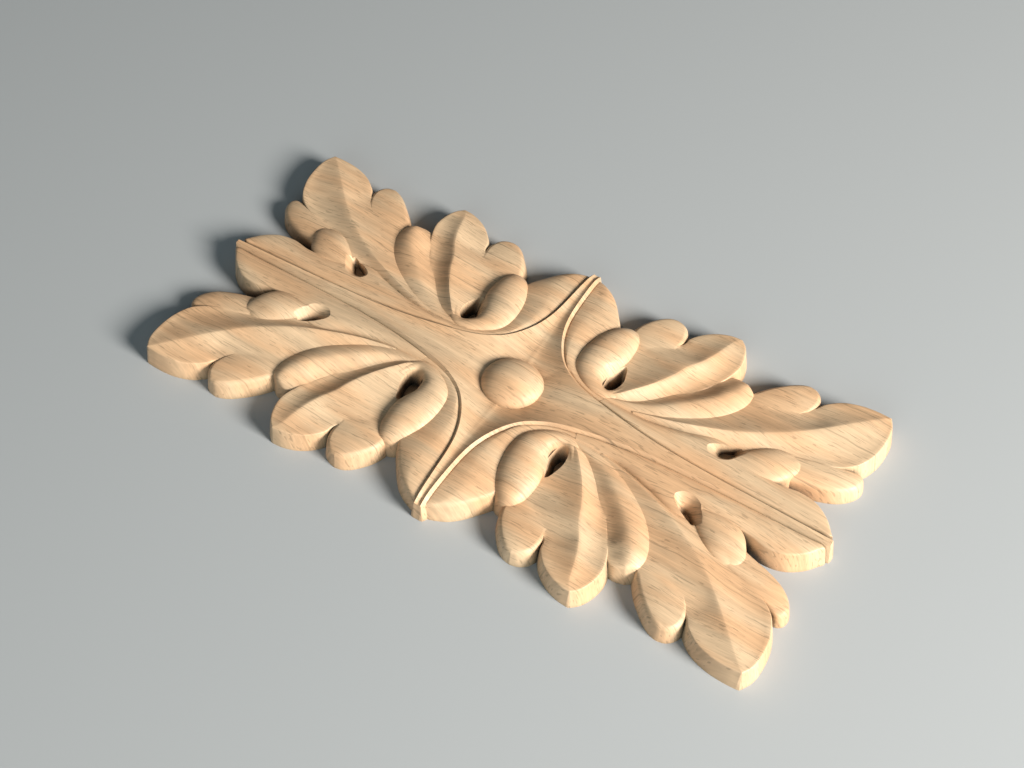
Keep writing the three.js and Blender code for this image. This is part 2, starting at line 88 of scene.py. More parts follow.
# How finely the carving is made.
STEPS_ALONG = 8  # between two stations of a leaf
FLANK_STEPS = 9
ROUND_STEPS = 14
RIM_STEPS = 3
FIELD_STEPS = 10
PIT_STEPS = 18
BOSS_SIDES = 96
BOSS_RINGS = 20
STATION_NUDGE = 0.01  # to either side of a station, to find which way the edge runs
SHARP_ANGLE = 32  # degrees between two faces that aren't shaded as one

# What counts as nothing.
SHORT_STEP = 1e-3  # a rail's step between two points that coincide
SAME_PLACE = 1e-6  # how near two points coincide
JOIN_WITHIN = 1e-4  # how near two corners of a mesh become one
TINY = 1e-9  # the least length to divide by


# Lines

def rail(points):
    """A smooth line through points, asked by station number: centripetal Catmull-Rom."""
    p = np.asarray(points, float)
    first = 2 * p[0] - p[1]
    last = 2 * p[-1] - p[-2]
    p = np.vstack([first, p, last])

    def at(station):
        station = min(max(station, 0), len(p) - 3)
        k = min(int(station), len(p) - 4)
        t = station - k
        a, b, c, d = p[k:k + 4]
        steps = [np.sum((v - u) ** 2) ** 0.25 for u, v in ((a, b), (b, c), (c, d))]
        if steps[1] < SHORT_STEP:
            steps[1] = 1.0
        steps[0] = steps[0] if steps[0] >= SHORT_STEP else steps[1]
        steps[2] = steps[2] if steps[2] >= SHORT_STEP else steps[1]
        leave = ((b - a) / steps[0] - (c - a) / (steps[0] + steps[1]) + (c - b) / steps[1]) * steps[1]
        arrive = ((c - b) / steps[1] - (d - b) / (steps[1] + steps[2]) + (d - c) / steps[2]) * steps[1]
        return (
            b + leave * t
            + (-3 * b + 3 * c - 2 * leave - arrive) * t ** 2
            + (2 * b - 2 * c + leave + arrive) * t ** 3
        )

    return at


# From the end of a short arm to the end of a long arm
STAR_EDGE = [
    (1.0, 48.1, 6.3), (1.05, 45, 7.7), (1.25, 40, 8.5), (1.9, 30, 8.9), (2.75, 25, 8.95),
    (4.5, 20, 9.0), (7.4, 15, 9.15), (10.4, 11.7, 9.3), (15, 8.75, 9.4), (20, 6.75, 9.5),
    (30, 4.5, 9.45), (40, 2.8, 9.3), (50, 1.8, 9.1), (65, 1.1, 8.85), (80, 0.85, 8.5),
    (100, 0.6, 8.0),
]
star_edge = rail(STAR_EDGE)


def groove(station, share, sink):
    """A point beside the star's edge: share of the groove's width out, and sink of its depth down."""
    here = star_edge(station)
    along = star_edge(station + STATION_NUDGE) - star_edge(station - STATION_NUDGE)
    out = np.array([-along[1], along[0]])
    out /= np.linalg.norm(out)
    if out[0] < 0:
        out = -out
    fade = math.exp(-(here[0] / GROOVE_FADE) ** 2)
    depth = GROOVE_DEPTH_ENDS + (GROOVE_DEPTH - GROOVE_DEPTH_ENDS) * fade
    return (*(here[:2] + out * GROOVE_WIDTH * share), here[2] - depth * sink)


def groove_foot(station):
    """Where the leaves begin: the eased rim starts inside the star's sloping side."""
    return groove(station, LEAF_START, 1)


def end_foot(station):
    """The same for the leaves beside the long arms."""
    return groove(station, END_START, 1)


# Cross sections, from a crest at 0 to a rim at 1: how many steps, where they are and how far
# the section has fallen there

def evenly(share):
    return share


def close_at_rim(share):
    return math.sin(share * math.pi / 2)


def close_at_crest(share):
    return 1 - math.cos(share * math.pi / 2)


def round_over():
    return ROUND_STEPS, close_at_rim, lambda s: 1 - math.sqrt(max(1 - s * s, 0))


def domed(power):
    return FLANK_STEPS, close_at_rim, lambda s: s ** power


def flowing():
    """Domed below the crest and hollow towards the rim, where it runs into the leaf beside it."""
    return FLANK_STEPS, evenly, lambda s: s * s * (3 - 2 * s)


def eased(s, ease):
    """Nearly s, but level at 0."""
    return (math.hypot(s, ease) - ease) / (math.hypot(1, ease) - ease)


def hollow(power):
    """Steep below the crest and flat at the rim, with the crest itself eased."""
    return FLANK_STEPS, close_at_crest, lambda s: 1 - (1 - eased(s, CREST_EASE)) ** power


def dished(power, dip):
    """Like hollow, but it sinks below its rim and comes up to it again."""
    return FLANK_STEPS, evenly, lambda s: (
        1 - (1 - eased(s, CREST_EASE)) ** power + dip * s * s * math.sin(s * math.pi)
    )


# Leaves of one quarter: the sections of the left and the right flank, how far the rims are
# eased, and the stations, each with its left rim, crest and right rim. The last is the tip.

LEAVES = {
    "crescent": (domed(2), domed(1.6), 0.9, [
        (groove_foot(10), (30, 6.7, 8.6), (30, 7.6, 8.2)),
        (groove_foot(9), (20, 8, 8.8), (19.5, 10, 8)),
        (groove_foot(8), (13.4, 10.3, 8.85), (15, 14, 7.7)),
        (groove_foot(7), (9.8, 13.7, 8.85), (13.5, 17.5, 7.5)),
        (groove_foot(6), (8.2, 17.6, 8.85), (13.8, 21, 7.2)),
        (groove_foot(5), (7, 21.8, 8.8), (14.4, 24, 6.9)),
        (groove_foot(4), (6.7, 26.5, 8.8), (15.4, 27, 6.8)),
        (groove_foot(3), (7.2, 31, 8.7), (16.8, 31, 6.7)),
        (groove_foot(2.4), (7.8, 35.4, 8.5), (16, 34.3, 6.6)),
        (groove_foot(2), (7.4, 39, 8.1), (13.6, 37.8, 6.5)),
        (groove_foot(1.4), (6.4, 42.4, 7.7), (10.3, 41.9, 6.5)),
        (groove_foot(0.9), (5, 44.8, 7.1), (7.5, 44.4, 6.3)),
        (groove_foot(0.3), (3, 46.7, 6), (4.3, 46.1, 5.8)),
        ((2.3, 46.9, 5.2),),
    ]),
    "curl": (round_over(), round_over(), 0, [
        ((30, 12.8, 7), (28.9, 14.2, 8.5), (27.8, 15.6, 6.8)),
        ((28.4, 9.6, 7.2), (27.3, 11.5, 8.8), (26.4, 13, 7)),
        ((25.2, 8, 7.6), (25, 9.8, 9.1), (24.9, 11.6, 7.2)),
        ((20.6, 8.3, 7.9), (22, 10.2, 9.5), (23.4, 12, 7)),
        ((15.8, 10.6, 7.5), (18.2, 12.9, 9.9), (21.8, 13.8, 6.5)),
        ((12.3, 13.9, 7.2), (16.8, 16.5, 10.2), (22, 16.6, 6.2)),
        ((11, 18.6, 6.9), (16.9, 20.5, 10.3), (23.3, 20, 6)),
        ((11.2, 23.5, 6.4), (17.6, 24.5, 10.1), (24.4, 24.2, 6)),
        ((12, 28.2, 5.6), (18.4, 28.6, 9.7), (24.4, 28.2, 5.8)),
        ((13.6, 32, 4.6), (19, 32, 8.9), (24, 32, 5)),
        ((15.5, 34, 4.4), (19.5, 33.9, 8), (23.2, 33.7, 4.8)),
        ((17.3, 35.4, 4.2), (19.9, 35.3, 6.6), (22.3, 35.1, 4.6)),
        ((19.8, 36.1, 4.6),),
    ]),
    "spoon": (hollow(1.8), dished(2.6, 0.3), RIM_ROUND, [
        ((23, 11, 7.6), (25.5, 10, 8.6), (28, 8.6, 8)),
        ((22.3, 14, 7.2), (28, 11.2, 9), (31, 9.4, 7.8)),
        ((22, 17.8, 6.8), (30.7, 14.2, 9.1), (35, 11.4, 7.3)),
        ((22.8, 22, 6.5), (34.7, 19.4, 9), (39.8, 16, 6.9)),
        ((22.3, 28, 6.1), (38.3, 25.6, 8.8), (44, 21.8, 6.7)),
        ((20, 34, 5.9), (40.3, 30.4, 8.6), (46.9, 26.4, 6.4)),
        ((34.2, 38.7, 6), (43, 34.8, 8.35), (49.4, 30.4, 6.4)),
        ((35.3, 42, 6.2), (45, 39.5, 8.1), (51.4, 34, 6.7)),
        ((38.4, 45.6, 6.4), (46.2, 43.7, 7.75), (52.9, 39.4, 7)),
        ((42, 47.8, 6.7), (47, 46.5, 7.25), (52.1, 44.4, 7.0)),
        ((45.6, 48.9, 6.9), (47.9, 48.2, 7.0), (50.5, 47.5, 6.9)),
        ((48.7, 49.2, 6.8),),
    ]),
    "inner_finger": (domed(2.5), domed(2), 1.4, [
        ((21.5, 26, 5.4), (27, 27, 6.1), (32, 29, 5.9)),
        ((19.8, 31, 5.6), (27, 32, 6.4), (34, 34, 6.1)),
        ((19.3, 35.5, 5.8), (27, 37, 6.6), (34.6, 37.8, 6.1)),
        ((20.4, 39.3, 5.9), (27.6, 41, 6.65), (34.7, 40.4, 6.1)),
        ((22.6, 42.7, 5.9), (28, 43.6, 6.45), (34.2, 42.8, 6)),
        ((25, 45.2, 5.8), (28.6, 45.3, 6.2), (32.9, 45, 5.9)),
        ((27, 46.4, 5.7), (28.8, 46.3, 5.85), (31, 46.3, 5.75)),
        ((29, 46.8, 5.7),),
    ]),
    "outer_finger": (flowing(), domed(1.7), 0.6, [
        ((22.5, 9.3, 8), (23.2, 8.2, 8.4), (24, 7, 8.2)),
        ((31.2, 12, 7.3), (32.8, 10.5, 8.5), (35.6, 7.6, 7.6)),
        ((36.4, 16.2, 6.9), (38.8, 12.8, 8.6), (42.2, 10, 7.2)),
        ((40.8, 21.2, 6.6), (44.2, 16.9, 8.75), (49, 14, 6.9)),
        ((45.2, 25.4, 6.3), (49, 21.2, 8.85), (54.8, 18.4, 6.6)),
        ((47.8, 29.2, 6.1), (52.8, 25, 8.85), (58.2, 22.8, 6.4)),
        ((49, 32.4, 6.2), (55, 28.4, 8.75), (60.3, 26.8, 6.2)),
        ((50.6, 34.2, 6.2), (56.5, 31, 8.5), (61, 29.6, 6.1)),
        ((52, 35.6, 6.2), (57.2, 33, 8.1), (61, 31.6, 6.1)),
        ((54.4, 36.2, 6.3), (57.7, 34.5, 7.5), (60.4, 33.5, 6.2)),
        ((57.6, 35.6, 6.5),),
    ]),
    "corner": (hollow(2), dished(1.8, 0.4), RIM_ROUND, [
        ((33, 10.2, 7.6), (34.5, 8.6, 8.3), (36, 6.6, 7.8)),
        ((43, 14, 7.4), (45, 11, 8.85), (46.2, 8.4, 6.8)),
        ((52, 22, 6.8), (55, 14.4, 9), (56.9, 11.2, 6.8)),
        ((57.5, 29, 6.4), (63, 17.8, 9), (66, 13.8, 7)),
        ((61, 35, 6.2), (70, 21.9, 8.95), (75, 17, 6.9)),
        ((68, 38, 6.1), (76, 26, 8.85), (84, 20.5, 6.6)),
        ((76.6, 38.3, 6.1), (82, 31.2, 8.6), (92.5, 24.2, 6.5)),
        ((79, 41.3, 6.4), (86, 35.1, 8.4), (96, 27.3, 6.8)),
        ((83, 44.3, 6.7), (90, 39.2, 8.1), (98.4, 32.5, 7)),
        ((88, 45.9, 7), (93.5, 42.8, 7.8), (99.1, 38.5, 7.2)),
        ((93, 46.3, 7.2), (95.8, 45.1, 7.5), (98.6, 43, 7.3)),
        ((97.03, 46.13, 7.3),),
    ]),
    "corner_inner_finger": (domed(2.5), domed(2), 1.3, [
        ((55, 26, 5.6), (60, 25, 6), (66, 25, 5.8)),
        ((58.6, 32.5, 5.9), (65, 30, 6.6), (72, 30, 6.4)),
        ((62.3, 37.8, 6.1), (69, 35.5, 6.85), (76, 35, 6.3)),
        ((66.2, 41.7, 6.1), (71.3, 39.7, 6.8), (77.6, 39, 6.3)),
        ((69, 43.9, 6), (72.6, 42.5, 6.55), (77.5, 41.8, 6.2)),
        ((71.2, 45, 5.9), (73.2, 44.1, 6.3), (76.4, 43.9, 6.05)),
        ((72.6, 45.4, 5.8), (73.6, 44.95, 6), (75, 45, 5.9)),
        ((73.4, 45.4, 5.8),),
    ]),
    "corner_outer_finger": (domed(2), domed(2), 1.2, [
        ((60, 14.5, 6.2), (60, 12.8, 6.2), (60, 10, 6.2)),
        ((72, 18.5, 6.8), (73, 15.5, 7), (73, 10.5, 6.3)),
        ((82, 21.8, 6.5), (83, 18, 6.8), (83, 13.4, 5.8)),
        ((89.5, 24, 6.1), (90, 20, 6.5), (89.5, 15, 5.3)),
        ((94.5, 25.4, 5.5), (95, 22, 5.9), (94.5, 17, 4.9)),
        ((97.2, 25.8, 5), (97.8, 23.2, 5.2), (97.6, 19.6, 4.5)),
        ((98.6, 25, 4.5), (98.8, 23.8, 4.6), (99, 22.2, 4.3)),
        ((99.1, 23.8, 4.3),),
    ]),
    "end": (domed(4), domed(1.7), 0.5, [
        (end_foot(9.5), (25.5, 6.9, 8.8), (26, 8.4, 8.3)),
        (end_foot(10), (31, 6.4, 9.1), (32, 8.4, 7.9)),
        (end_foot(11), (40, 6.6, 9.15), (41, 9.2, 6.9)),
        (end_foot(12), (50, 7.9, 9.1), (51, 11.7, 6.6)),
        (end_foot(12.6), (58, 9, 8.85), (59, 14.2, 6.8)),
        (end_foot(13), (66, 7.8, 8.65), (68, 12, 7.2)),
        (end_foot(13.6), (74, 6.3, 8.45), (75, 9.5, 7.7)),
        (end_foot(14), (80, 5.5, 8.3), (80, 9.3, 7.5)),
        (end_foot(14.3), (86, 5, 8.15), (86, 10.3, 7.2)),
        (end_foot(14.55), (91, 4.5, 8), (91.3, 9.4, 7.2)),
        (end_foot(14.75), (95, 3.6, 7.85), (95.8, 6.4, 7.2)),
        (end_foot(14.9), (97.9, 2.6, 7.6), (98.4, 3.2, 7.3)),
        ((99.3, 2.2, 7.2),),
    ]),
    "end_finger": (round_over(), round_over(), 0, [
        ((58, 9.5, 6.6), (60, 8, 7.2), (64, 7, 6.6)),
        ((62.3, 10.2, 6.5), (66, 9.3, 8.3), (71, 7.2, 6.6)),
        ((64.8, 12.2, 6.4), (70, 11, 8.9), (76.5, 8, 6.6)),
        ((68, 15.4, 6.2), (73.5, 13.2, 9), (79.8, 10.4, 6.4)),
        ((71.2, 18.3, 6), (76, 15.9, 8.7), (81.8, 13.7, 6.2)),
        ((74, 20.1, 5.8), (78, 17.9, 8), (83, 16.7, 6)),
        ((77.3, 20.9, 5.6), (79.8, 19.4, 7), (82.6, 18.9, 5.8)),
        ((80.6, 20.8, 5.4),),
    ]),
}

# Deep cuts: the mouth, the point it narrows towards, the share of it that is left at the
# floor, and the height of the floor
PITS = {
    "eye": ([
        (26.9, 13.8), (27.1, 16.5), (26.4, 19.3), (25.3, 22), (24.5, 22.6), (22.9, 19.4), (21.8, 16.6),
        (22.1, 14), (23, 12.2), (24.6, 11.5), (26.1, 12.2),
    ], (26.5, 13.2), 0.62, PIT_FLOOR),
    "slot": ([
        (59.3, 10.6), (60.9, 12.3), (63.6, 13.6), (66.2, 14.6), (67, 13.6), (66, 11.6), (64.6, 9.6),
        (62.3, 8.6), (60.2, 9.1),
    ], (62.8, 12.6), 0.5, SLOT_FLOOR),
}


# Closed bodies

def unit(v):
    return v / max(np.linalg.norm(v), TINY)


def next_apart(p, k, turn):
    """The nearest point before or after point k of a closed line that doesn't coincide with it."""
    others = (p[(k + turn * i) % len(p)] for i in range(1, len(p)))
    return next((q for q in others if np.linalg.norm(q - p[k]) > SAME_PLACE), p[k])


def outward(points):
    """The outward direction at each point of a closed line, seen from above."""
    p = np.asarray(points)[:, :2]
    area = np.sum(p[:, 0] * np.roll(p[:, 1], -1) - np.roll(p[:, 0], -1) * p[:, 1])
    out = np.zeros_like(p)
    for k in range(len(p)):
        behind = next_apart(p, k, -1)
        ahead = next_apart(p, k, 1)
        along = unit(unit(p[k] - behind) + unit(ahead - p[k]))
        out[k] = (along[1], -along[0]) if area > 0 else (-along[1], along[0])
    return out


def border_of(rows, columns):
    """The border of a grid, once round, as row and column numbers."""
    border = [(0, j) for j in range(columns)]
    border += [(i, columns - 1) for i in range(1, rows)]
    border += [(rows - 1, j) for j in range(columns - 2, -1, -1)]
    border += [(i, 0) for i in range(rows - 2, 0, -1)]
    return border


def body_under(grid):
    """A closed mesh from a grid of points on top, with walls that lean out on the way down."""
    rows, columns, _ = grid.shape
    border = border_of(rows, columns)
    out = outward([grid[i, j] for i, j in border])
    foot = grid.copy()
    foot[..., 2] = BELOW
    for (i, j), away in zip(border, out):
        foot[i, j, :2] += away * (grid[i, j, 2] - BELOW) * WALL_DRAFT
    vertices = np.vstack([grid.reshape(-1, 3), foot.reshape(-1, 3)]).tolist()
    under = rows * columns
    faces = []
    for i in range(rows - 1):
        for j in range(columns - 1):
            k = i * columns + j
            faces.append((k, k + 1, k + columns + 1, k + columns))
            faces.append((under + k, under + k + columns, under + k + columns + 1, under + k + 1))
    ring = [i * columns + j for i, j in border]
    for a, b in zip(ring, ring[1:] + ring[:1]):
        faces.append((b, a, under + a, under + b))
    return vertices, faces


def flank(middle, rim, section, rim_round):
    """Points from the crest to the rim, with closer ones where the rim is eased."""
    count, place, fall = section
    length = max(math.hypot(*(rim - middle)[:2]), SAME_PLACE)
    brim = min(rim_round / length, RIM_SHARE)
    shares = [place(j / count) * (1 - brim) for j in range(1, count + 1)]
    shares += [1 - brim * (1 - math.sin(k / RIM_STEPS * math.pi / 2)) for k in range(1, RIM_STEPS + 1)]
    points = []
    for s in shares:
        p = middle + (rim - middle) * s
        p[2] = middle[2] + (rim[2] - middle[2]) * fall(s)
        points.append(p)
    return points


def to_line(points, line):
    """The distance from each point to a line of points, seen from above."""
    a, b = line[:-1, :2], line[1:, :2]
    along = b - a
    square = np.maximum(np.sum(along ** 2, axis=1), TINY ** 2)
    rel = points[:, None, :2] - a[None]
    t = np.clip(np.sum(rel * along[None], axis=2) / square, 0, 1)
    return np.min(np.linalg.norm(rel - t[..., None] * along[None], axis=2), axis=1)


def leaf_grid(left, right, rim_round, stations):
    """The top of a leaf: rows of points from rim to rim, with the rims eased."""
    full = [s * 3 if len(s) == 1 else s for s in stations]
    lines = [rail([s[k] for s in full]) for k in range(3)]
    count = (len(full) - 1) * STEPS_ALONG
    where = [i / STEPS_ALONG for i in range(count + 1)]
    left_rim, crest, right_rim = (np.array([line(t) for t in where]) for line in lines)
    grid = []
    for k in range(count + 1):
        a = flank(crest[k], left_rim[k], left, rim_round)[::-1]
        b = flank(crest[k], right_rim[k], right, rim_round)
        grid.append(a + [crest[k]] + b)
    grid = np.array(grid)
    if rim_round:
        outline = np.vstack([left_rim, right_rim[::-1]])
        away = to_line(grid.reshape(-1, 3), outline).reshape(grid.shape[:2])
        inside = np.maximum(rim_round - away, 0)
        grid[..., 2] -= rim_round - np.sqrt(np.maximum(rim_round ** 2 - inside ** 2, 0))
    return grid


def star_grid():
    """The top of a quarter of the star: rows of points from its middle line into the groove."""
    count = (len(STAR_EDGE) - 1) * STEPS_ALONG
    grid = []
    for i in range(count + 1):
        from_start = i / STEPS_ALONG
        edge = star_edge(from_start)
        # The middle line comes in along one arm, turns where the arms cross and goes out along
        # the other.
        middle = np.array([max(edge[0] - edge[1], 0), max(edge[1] - edge[0], 0), 0])
        if i == 0:
            middle = np.array([0, edge[1], 0])
        if i == count:
            middle = np.array([edge[0], 0, 0])
        reach = np.hypot(middle[0], middle[1])
        middle[2] = edge[2] - FIELD_DEPTH * math.exp(-reach / FIELD_REACH) - ARM_HOLLOW
        row = []
        for j in range(FIELD_STEPS + 1):
            s = j / FIELD_STEPS
            p = middle + (edge - middle) * s
            p[2] = middle[2] + (edge[2] - middle[2]) * eased(s, FIELD_EASE) ** FIELD_RISE
            row.append(p)
        to_end = (count - i) / STEPS_ALONG
        dip = GROOVE_DIP * min(1, from_start + DIP_ENDS, to_end * DIP_STRETCH + DIP_ENDS)
        row.append(groove(from_start, dip, dip))
        grid.append(row)
    return np.array(grid)


def boss_body():
    """The boss, an oval dome on an upright foot."""
    along, across = BOSS_RADIUS
    profile = [(1, BELOW)]
    for k in range(BOSS_RINGS):
        angle = k / BOSS_RINGS * math.pi / 2
        r = math.cos(angle) ** (2 / BOSS_SHAPE)
        rise = math.sin(angle) ** (2 / BOSS_SHAPE)
        profile.append((r, BOSS_SEAT + (BOSS_HEIGHT - BOSS_SEAT) * rise))
    vertices = []
    faces = []
    for r, z in profile:
        for k in range(BOSS_SIDES):
            angle = k / BOSS_SIDES * math.tau
            vertices.append((along * r * math.cos(angle), across * r * math.sin(angle), z))
    for level in range(len(profile) - 1):
        for k in range(BOSS_SIDES):
            a = level * BOSS_SIDES + k
            b = level * BOSS_SIDES + (k + 1) % BOSS_SIDES
            faces.append((a, b, b + BOSS_SIDES, a + BOSS_SIDES))
    top = len(vertices)
    vertices += [(0, 0, BOSS_HEIGHT), (0, 0, BELOW)]
    last = (len(profile) - 1) * BOSS_SIDES
    for k in range(BOSS_SIDES):
        m = (k + 1) % BOSS_SIDES
        faces.append((last + k, last + m, top))
        faces.append((m, k, top + 1))
    return vertices, faces


def pit_body(mouth, centre, narrowing, floor):
    """What a deep cut takes away, from its floor to above the carving."""
    closed = [mouth[-1], *mouth, mouth[0], mouth[1]]
    line = rail([(x, y, 0) for x, y in closed])
    outline = [line(1 + i / STEPS_ALONG) for i in range(len(mouth) * STEPS_ALONG)]
    area = sum(p[0] * q[1] - q[0] * p[1] for p, q in zip(outline, outline[1:] + outline[:1]))
    if area < 0:
        outline.reverse()
    levels = []
    for k in range(PIT_STEPS, -1, -1):
        z = floor + (ABOVE - floor) * k / PIT_STEPS
        up = (z - floor) / (PIT_BRIM - floor)
        levels.append((narrowing + (1 - narrowing) * up + PIT_FLARE * up ** FLARE_POWER, z))
    cx, cy = centre
    vertices = []
    for share, z in levels:
        for x, y, _ in outline:
            vertices.append((cx + (x - cx) * share, cy + (y - cy) * share, z))
    n = len(outline)
    faces = []
    for level in range(len(levels) - 1):
        for k in range(n):
            a = level * n + k
            b = level * n + (k + 1) % n
            faces.append((b, a, a + n, b + n))
    faces.append(tuple(range(n)))
    faces.append(tuple(reversed(range((len(levels) - 1) * n, len(levels) * n))))
    return vertices, faces


def board_body():
    """The board that the rosette is cut from, between its back and the top of the boss."""
    low, high = cad_low / MM, cad_high / MM
    corners = [(x, y, z) for x in (low.x, high.x) for y in (low.y, high.y) for z in (0, high.z)]
    sides = [(0, 1, 3, 2), (4, 6, 7, 5), (0, 4, 5, 1), (2, 3, 7, 6), (0, 2, 6, 4), (1, 5, 7, 3)]
    return corners, sides


def solid(name, vertices, faces):
    """A mesh object from a closed body, in metres, with coinciding points joined and faces turned out."""
    mesh = bpy.data.meshes.new(name)
    mesh.from_pydata([tuple(c * MM for c in v) for v in vertices], [], faces)
    bm = bmesh.new()
    bm.from_mesh(mesh)
    bmesh.ops.remove_doubles(bm, verts=bm.verts, dist=JOIN_WITHIN * MM)
    bmesh.ops.dissolve_degenerate(bm, dist=JOIN_WITHIN * MM, edges=bm.edges)
    bmesh.ops.triangulate(bm, faces=bm.faces)
    if bm.calc_volume(signed=True) < 0:
        bmesh.ops.reverse_faces(bm, faces=bm.faces)
    bm.to_mesh(mesh)
    bm.free()
    thing = bpy.data.objects.new(name, mesh)
    bpy.context.scene.collection.objects.link(thing)
    return thing


def combine(target, operation, others):
    """Joins to or cuts from target all the others, which are then removed."""
    group = bpy.data.collections.new("operands")
    bpy.context.scene.collection.children.link(group)
    for other in others:
        bpy.context.scene.collection.objects.unlink(other)
        group.objects.link(other)
    cut = target.modifiers.new("combine", "BOOLEAN")
    cut.operation = operation
    cut.solver = "MANIFOLD"
    cut.operand_type = "COLLECTION"
    cut.collection = group
    depsgraph = bpy.context.evaluated_depsgraph_get()
    made = bpy.data.meshes.new_from_object(target.evaluated_get(depsgraph))
    target.modifiers.clear()
    old = target.data
    target.data = made
    bpy.data.meshes.remove(old)
    for other in others:
        bpy.data.meshes.remove(other.data)
    bpy.data.collections.remove(group)
    return target


def mirrored(thing, sx, sy):
    """A copy, turned over in X where sx is -1 and in Y where sy is -1."""
    copy = bpy.data.objects.new(thing.name, thing.data.copy())
    copy.data.transform(Matrix.Diagonal((sx, sy, 1, 1)))
    if sx * sy < 0:
        copy.data.flip_normals()
    bpy.context.scene.collection.objects.link(copy)
    return copy


def carve():
    """One quarter with its leaves and deep cuts, four times, with the boss in the middle."""
    quarter = solid("quarter", *body_under(star_grid()))
    leaves = [solid(name, *body_under(leaf_grid(*leaf))) for name, leaf in LEAVES.items()]
    combine(quarter, "UNION", leaves)
    cuts = [solid(name, *pit_body(*pit)) for name, pit in PITS.items()]
    combine(quarter, "DIFFERENCE", cuts)
    quarters = [mirrored(quarter, sx, sy) for sx in (1, -1) for sy in (1, -1)]
    bpy.data.objects.remove(quarter)
    rosette = combine(solid("rosette_carving", *boss_body()), "UNION", quarters)
    combine(rosette, "INTERSECT", [solid("board", *board_body())])
    rosette.data.shade_smooth()
    rosette.data.set_sharp_from_angle(angle=math.radians(SHARP_ANGLE))
    return rosette


# Materials

# Colours of the wood, and the sizes of what shows in it, in millimetres along the grain,
# across it and down through the board. Edges are the two values between which a thing comes
# up, and shades are what the colour is multiplied by at them.
WOOD_YELLOW = (0.675, 0.47, 0.285, 1)
WOOD_ORANGE = (0.68, 0.41, 0.222, 1)
PATCH = (38, 9, 60)
PATCH_EDGES = (0.36, 0.64)
STREAK_EDGES = (0.3, 0.7)  # of bands, fibres and hairs
BAND = (90, 2.4, 120)
BAND_SHADES = (0.92, 1.07)
FIBRE = (16, 0.55, 9)
FIBRE_SHADES = (0.92, 1.07)
HAIR = (5, 0.24, 3)
HAIR_SHADES = (0.94, 1.05)

PORE = (3.4, 0.30, 2.0)
PORE_EDGES = (0.68, 0.76)
PORE_SHADE = 0.74
CROWD = (30, 3.5, 60)
CROWD_EDGES = (0.35, 0.65)
CROWD_BY = (-0.05, 0.05)  # what it adds to the noise of the pores

NOISE_MIDDLE = 0.5
BEND = (70, 26, 90)
BEND_BY = 5
WIGGLE = (7, 4, 60)
WIGGLE_BY = 0.8
LINE_SPACING = 5.6
LINE_PLAY = 0.6  # the share of the spacing in which a line may lie
LINE_HALF_WIDTH = 0.17
LINE_EDGES = (0.3, 1.6)  # where it begins to fade and is gone, in half widths
LINE_RUN = (24, 4, 60)
LINE_RUN_EDGES = (0.48, 0.6)
LINE_SHADE = 0.74

# Open air is 1 where nothing is near and 0 where walls are all around. It places the shade that is painted
# into the wood's colour.
AIR_SAMPLES = 8
CREVICE = 3  # how far away a wall still darkens a crevice
CREVICE_EDGES = (0.15, 0.85)
# Painted shade: what the wood's colour is multiplied by deep in a crevice
CREVICE_SHADE_TINT = (0.36, 0.41, 0.43, 1)
HOLE = 9  # how far away a wall still blackens a deep cut
HOLE_EDGES = (0.08, 0.32)
# Painted shadow: the near black that fills the deep cuts where walls close in all around
PIT_SHADOW_BLACK = (0.016, 0.015, 0.014, 1)
WHITE = (1, 1, 1, 1)

ROUGHNESS = (0.6, 0.48)  # of dark and of light fibres
RELIEF = 0.12  # height of the fine bump
RELIEF_STRENGTH = 0.4
PORE_RELIEF = 0.8  # how deep pores go, where fibres and hairs count as 1
LINE_RELIEF = 0.4  # the same for growth lines


class Nodes:
    """The nodes of one material, made and joined in short lines."""

    def __init__(self, material):
        material.use_nodes = True
        self.tree = material.node_tree

    def add(self, kind, inputs, **settings):
        node = self.tree.nodes.new("ShaderNode" + kind)
        for key, value in settings.items():
            setattr(node, key, value)
        for key, value in inputs.items():
            if isinstance(value, bpy.types.NodeSocket):
                self.tree.links.new(value, node.inputs[key])
            else:
                node.inputs[key].default_value = value
        return node

    def noise(self, place, size, detail=0.0, roughness=0.5):
        scale = tuple(1 / (MM * length) for length in size)
        stretched = self.add("Mapping", {"Vector": place, "Scale": scale})
        settings = {"Vector": stretched.outputs[0], "Scale": 1.0, "Detail": detail, "Roughness": roughness}
        return self.add("TexNoise", settings).outputs[0]

    def ramp(self, value, low, high, to_low=0.0, to_high=1.0):
        limits = {"From Min": low, "From Max": high, "To Min": to_low, "To Max": to_high}
        return self.add("MapRange", {"Value": value, **limits}, interpolation_type="SMOOTHSTEP").outputs[0]

    def math(self, operation, a, b=0.0):
        return self.add("Math", {0: a, 1: b}, operation=operation).outputs[0]

    def sway(self, place, size, by):
        """A length that wanders up to by millimetres either way."""
        centred = self.math("SUBTRACT", self.noise(place, size, detail=1.0), NOISE_MIDDLE)
        return self.math("MULTIPLY", centred, by * 2 * MM)

    def darken(self, shade, mask, by):
        """The shade, times by where the mask is 1."""
        return self.math("MULTIPLY", shade, self.ramp(mask, 0.0, 1.0, 1.0, by))

    def open_air(self, distance):
        reach = {"Distance": distance * MM}
        return self.add("AmbientOcclusion", reach, samples=AIR_SAMPLES).outputs["AO"]

    def mix(self, share, a, b):
        node = self.add("Mix", {}, data_type="RGBA")
        sockets = {"Factor": share, "A": a, "B": b}
        for key, value in sockets.items():
            kind = "VALUE" if key == "Factor" else "RGBA"
            socket = next(i for i in node.inputs if i.name == key and i.type == kind)
            if isinstance(value, bpy.types.NodeSocket):
                self.tree.links.new(value, socket)
            else:
                socket.default_value = value
        return next(o for o in node.outputs if o.type == "RGBA")


